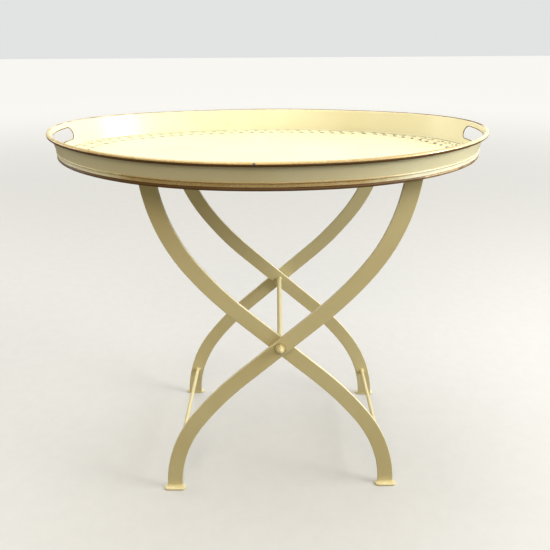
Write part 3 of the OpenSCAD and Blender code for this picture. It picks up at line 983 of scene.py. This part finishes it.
def enamel(name, cream, shade, stain_and_shade_tone, brush_mark=0.05, sheen=0.34, coat=0.2, worn_and_highlight_tone=None, chips=(), grime_and_shade=0.0):
    """Brushed cream enamel: gold, umber and painted shade where the mesh's layers say so, and edges of wear
    and painted highlight.
    """
    paint = new_paint(name)
    place, brush = paint.place(), paint.layer("brush", "Vector")
    gold, umber, edge = (paint.layer(n) for n in ("gold", "umber", "edge"))
    streak = paint.noise(brush, 1.1, 4, 0.6)
    fine_streak = paint.noise(brush, 3.4, 3, 0.6)
    cloud = paint.noise(place, 7.0, 4, 0.6)
    blotch = paint.noise(place, 38.0, 4, 0.62)
    grain = paint.noise(place, 260.0, 3, 0.6)

    colour = paint.blend(paint.ramp(cloud, 0.36, 0.68), cream, shade)
    colour = paint.blend(paint.ramp(streak, 0.35, 0.7, 0.0, brush_mark * 4), colour, shade)
    colour = paint.blend(paint.ramp(blotch, 0.6, 0.8, 0.0, 0.12), colour, stain_and_shade_tone)
    speck = paint.ramp(paint.noise(place, 520.0, 1, 0.4), 0.785, 0.80, 0.0, 0.6)
    colour = paint.blend(speck, colour, UMBER_AND_SHADE_BROWN)

    ragged = paint.math("SUBTRACT", blotch, 0.5)
    gold_mask = paint.ramp(paint.math("ADD", gold, paint.times(ragged, 0.8)), 0.25, 0.75)
    umber_and_shade_mask = paint.ramp(paint.math("ADD", umber, paint.times(ragged, 0.3)), 0.4, 0.6)
    gilt = paint.blend(paint.ramp(fine_streak, 0.36, 0.66), GOLD, GOLD_PALE)
    gilt = paint.blend(paint.ramp(streak, 0.5, 0.75, 0.0, 0.55), gilt, cream)
    gilt = paint.blend(paint.ramp(grain, 0.58, 0.74, 0.0, 0.35), gilt, UMBER_AND_SHADE_BROWN)
    colour = paint.blend(gold_mask, colour, gilt)
    # Umber layer: umber paint, and painted shade on the rolls, in the creases and under the rim.
    colour = paint.blend(paint.times(umber_and_shade_mask, 0.96), colour, UMBER_AND_SHADE_BROWN)

    # Pale edges and faces where the edge layer is high: partly worn paint, partly a painted highlight.
    wear_and_highlight = paint.ramp(paint.times(edge, paint.math("ADD", streak, blotch)), 0.7, 1.05, 0.0, 0.8)
    colour = paint.blend(wear_and_highlight, colour, worn_and_highlight_tone or cream)
    # Ring round the washers: partly dirt, partly a painted shade.
    if grime_and_shade:
        ring = paint.times(grime_and_shade_ring(paint, place), grime_and_shade)
        colour = paint.blend(ring, colour, stain_and_shade_tone)
    bare = None
    for point, radius in chips:
        spot = near_point(paint, place, point, radius)
        colour = paint.blend(spot, colour, CHIPPED)
        bare = spot if bare is None else paint.math("MAXIMUM", bare, spot)

    rough = paint.ramp(blotch, 0.3, 0.7, sheen - 0.05, sheen + 0.08)
    rough = paint.math("ADD", rough, paint.times(umber_and_shade_mask, 0.12))
    height = paint.math("ADD", paint.times(fine_streak, 0.5), paint.times(grain, 0.25))
    if bare is not None:
        height = paint.math("SUBTRACT", height, bare)
    normal = paint.bump(height, 0.3, 0.0003)
    normal = paint.bump(paint.math("SUBTRACT", cloud, paint.times(wear_and_highlight, 0.4)), 0.2, 0.0012, normal)
    metal = paint.times(gold_mask, paint.ramp(umber_and_shade_mask, 0.0, 1.0, 0.32, 0.05))
    gloss = paint.ramp(umber_and_shade_mask, 0.0, 1.0, coat, 0.2 * coat)
    return paint.finish(Base_Color=colour, Roughness=rough, Metallic=metal, Normal=normal, Coat_Weight=gloss,
                        Coat_Roughness=0.2, IOR=1.5)


def stroke_paint(name, colour, thin):
    """Translucent artist's oil paint, uneven along each stroke."""
    paint = new_paint(name)
    place = paint.place()
    load = paint.noise(place, 95.0, 3, 0.6)
    tint = paint.blend(paint.ramp(load, 0.4, 0.75), colour, thin)
    bristle = paint.noise(place, 1500.0, 2, 0.5)
    tint = paint.blend(paint.ramp(bristle, 0.55, 0.7, 0.0, 0.3), tint, thin)
    rough = paint.ramp(load, 0.3, 0.7, 0.4, 0.6)
    return paint.finish(Base_Color=tint, Roughness=rough, Normal=paint.bump(bristle, 0.3, 0.0002))


def dull_steel(name):
    """Plain steel, dulled and faintly stained."""
    paint = new_paint(name)
    place = paint.place()
    drawn = paint.node("Mapping", {"Vector": place, "Scale": (40, 900, 900)}).outputs[0]
    scratches = paint.noise(drawn, 1.0, 3)
    stain = paint.noise(place, 60.0, 4, 0.65)
    colour = paint.blend(paint.ramp(stain, 0.45, 0.7, 0.0, 0.7), STEEL_DULL, STEEL_STAIN)
    rough = paint.ramp(scratches, 0.3, 0.7, 0.35, 0.55)
    return paint.finish(Base_Color=colour, Metallic=0.85, Roughness=rough,
                        Normal=paint.bump(scratches, 0.2, 0.0002))


# ---- studio

BRIGHT_SIDE = (0.76, 0.62, 0.2)
DIM_WORLD, BRIGHT_WORLD, SEEN_WORLD = rgb(0.32, 0.265, 0.165), rgb(0.92, 0.92, 0.90), rgb(0.76, 0.77, 0.77)
# Lights: name, place, what it points at, size, power and colour.
LIGHTS = (
    ("overhead", (-0.45, 0.3, 2.6), (0.0, 0.0, 0.6), 2.2, 26, (0.99, 0.99, 0.98)),
    ("window", (2.5, -0.5, 1.6), (0.0, 0.0, 0.6), 1.4, 67, (1.0, 0.99, 0.97)),
    ("front_fill", (-0.25, -2.3, 2.4), (0.0, 0.0, 0.3), 1.4, 19.5, (1.0, 0.88, 0.64)),
    ("left_fill", (-2.6, 0.5, 1.0), (0.0, 0.0, 0.6), 1.4, 15, (1.0, 0.99, 0.97)),
)


def floor_material():
    """A floor that looks pale to the camera, but throws as little light back as a dark one."""
    paint = new_paint("studio_floor")
    place = paint.place()
    fleck = paint.noise(place, 30.0, 4, 0.7)
    pale = paint.blend(paint.ramp(fleck, 0.35, 0.65, 0.0, 0.5), rgb(0.54, 0.54, 0.53), rgb(0.57, 0.57, 0.56))
    seen = paint.node("LightPath").outputs["Is Camera Ray"]
    far = paint.vector("LENGTH", place)
    glow = paint.times(seen, paint.ramp(far, 0.5, 6.0, 0.10, 0.56))
    colour = paint.blend(seen, rgb(0.12, 0.11, 0.09), pale)
    return paint.finish(Base_Color=colour, Roughness=0.9, Specular_IOR_Level=0.1, Emission_Strength=glow,
                        Emission_Color=rgb(1.0, 1.0, 0.985))


def build_world():
    """Soft surroundings: bright behind the table and to its right, dim and warm in front and to its left."""
    world = bpy.data.worlds.new("studio")
    bpy.context.scene.world = world
    paint = Paint(world)
    direction = paint.node("TexCoord").outputs["Generated"]
    aim = paint.vector("DOT_PRODUCT", direction, BRIGHT_SIDE)
    around = paint.blend(paint.ramp(aim, -0.9, 0.9), DIM_WORLD, BRIGHT_WORLD)
    seen = paint.node("LightPath").outputs["Is Camera Ray"]
    colour = paint.blend(seen, around, SEEN_WORLD)
    paint.plug(paint.tree.nodes["Background"].inputs["Color"], colour)


def build_studio():
    """Plain pale floor, soft lights above, to the right, in front and to the left, and the surroundings."""
    reach = 15.0
    mesh = bpy.data.meshes.new("studio_floor")
    mesh.from_pydata([(-reach, -reach, 0), (reach, -reach, 0), (reach, reach, 0), (-reach, reach, 0)], [],
                     [(0, 1, 2, 3)])
    mesh.materials.append(floor_material())
    link_new("studio_floor", mesh)
    for name, place, target, size, power, colour in LIGHTS:
        light = bpy.data.lights.new(name, "AREA")
        light.shape = "DISK"
        light.size, light.energy, light.color = size, power, colour
        obj = link_new(name, light)
        obj.location = place
        obj.rotation_euler = (Vector(target) - Vector(place)).to_track_quat("-Z", "Y").to_euler()
    build_world()


def build_camera():
    """The viewpoint: standing in front, a little above the rim, looking down at the table."""
    data = bpy.data.cameras.new("camera")
    data.lens, data.sensor_width = 39.80, 36.0
    data.shift_y = -0.0497
    camera = link_new("camera", data)
    yaw, tilt, roll = (Matrix.Rotation(radians(angle), 4, axis)
                       for angle, axis in ((0.15, "Z"), (90 - 20.45, "X"), (-0.37, "Z")))
    camera.matrix_world = Matrix.Translation((0.0148, -1.1349, 0.8693)) @ yaw @ tilt @ roll
    bpy.context.scene.camera = camera


# ---- the table

LEG_SIDES = {"outer_front_leg": 1, "outer_rear_leg": 1, "inner_front_leg": -1, "inner_rear_leg": -1}
TRAY_CREAM, TRAY_SHADE = rgb(0.86, 0.815, 0.56), rgb(0.83, 0.775, 0.50)
STAND_CREAM, STAND_SHADE = rgb(0.80, 0.715, 0.41), rgb(0.75, 0.655, 0.35)
# Pale tones for the edge layer: partly worn paint, partly a painted highlight.
GILT_WORN_AND_HIGHLIGHT, STAND_WORN_AND_HIGHLIGHT = rgb(0.93, 0.90, 0.72), rgb(0.93, 0.88, 0.66)
# Stain tone for blotches, also used for the painted shade round the washers.
STAIN_AND_SHADE = rgb(0.40, 0.30, 0.13)
RIM_CHIP, CHIP_R = (-16.5, -282.8, 677.6), 2.4  # place and radius of the chip in the rim's paint
LEAF, LEAF_THIN = rgb(0.052, 0.050, 0.014), rgb(0.115, 0.112, 0.040)
SPRIG, SPRIG_THIN = rgb(0.175, 0.168, 0.062), rgb(0.29, 0.28, 0.118)


def build_tray():
    tray_paint = enamel("tray_enamel", TRAY_CREAM, TRAY_SHADE, STAIN_AND_SHADE, chips=[(RIM_CHIP, CHIP_R)])
    gilding = enamel("gilding", TRAY_CREAM, TRAY_SHADE, STAIN_AND_SHADE, sheen=0.38, worn_and_highlight_tone=GILT_WORN_AND_HIGHLIGHT)
    build_tray_wall(tray_paint)
    build_floor(tray_paint)
    build_moulding(gilding)
    build_hand_hold_edge("right_hand_hold_edge", 0.0, gilding)
    build_hand_hold_edge("left_hand_hold_edge", pi, gilding)
    build_leaf_border(stroke_paint("leaf_paint", LEAF, LEAF_THIN),
                      stroke_paint("sprig_paint", SPRIG, SPRIG_THIN))
    for node in ("left_front_lug", "left_rear_lug", "right_front_lug", "right_rear_lug"):
        dress(node, tray_paint)


def build_stand():
    stand_paint = enamel("stand_enamel", STAND_CREAM, STAND_SHADE, STAIN_AND_SHADE, brush_mark=0.08, worn_and_highlight_tone=STAND_WORN_AND_HIGHLIGHT,
                         grime_and_shade=0.75)
    nut_paint = enamel("nut_enamel", STAND_CREAM, STAND_SHADE, STAIN_AND_SHADE, sheen=0.24, coat=0.6, worn_and_highlight_tone=STAND_WORN_AND_HIGHLIGHT,
                       grime_and_shade=0.75)
    steel = dull_steel("dull_steel")
    for seed, (node, side) in enumerate(LEG_SIDES.items()):
        build_leg(node, side, 1.7 + 5.3 * seed, stand_paint)
    for seed, node in enumerate(("outer_top_rod", "outer_foot_rod", "inner_top_rod", "inner_foot_rod")):
        build_cross_rod(node, 3.1 * seed + 0.7, stand_paint)
    build_pivot_rod("pivot_rod", 13.1, stand_paint)
    for node in LEG_SIDES:
        build_foot(node.replace("_leg", "_foot"), node, stand_paint)
    for side in ("front", "rear"):
        build_cap_nut(side + "_cap_nut", nut_paint)
        dress(side + "_nut_washer", nut_paint)
        dress(side + "_spacer_washer", steel)
    dress("rim_wire", steel)


build_tray()
build_stand()
build_studio()
build_camera()
bpy.context.scene.view_settings.view_transform = "Standard"
